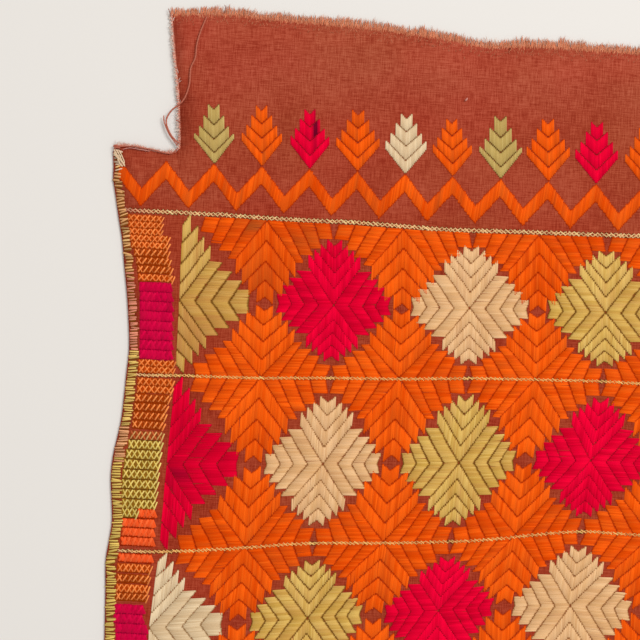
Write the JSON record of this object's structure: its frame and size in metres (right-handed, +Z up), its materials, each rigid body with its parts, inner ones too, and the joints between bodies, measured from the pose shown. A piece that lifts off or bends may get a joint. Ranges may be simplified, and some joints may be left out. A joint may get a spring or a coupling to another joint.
{
  "type": "phulkari shawl",
  "caption": "Flat-laid hand-loomed cotton shawl darned all over with silk lozenges, raw frayed ends, overcast side edges and a torn-away corner.",
  "frame": {"origin": "middle of the flat underside, on the surface that the shawl lies on", "axes": "+X across the shawl away from the torn corner's side, +Y along its length towards the torn end, +Z up off the surface"},
  "size_m": [1.2776, 2.3028, 0.0026],
  "materials": {
    "khaddar": "matte coarse hand-spun cotton",
    "silk_orange": "satin untwisted silk floss",
    "silk_pink": "satin untwisted silk floss",
    "silk_green": "satin untwisted silk floss",
    "silk_cream": "satin untwisted silk floss",
    "edge_thread": "matte twisted cotton thread"
  },
  "bodies": {
    "root": {"khaddar_width_left": "khaddar", "khaddar_width_middle": "khaddar", "khaddar_width_right": "khaddar"}
  },
  "joints": []
}
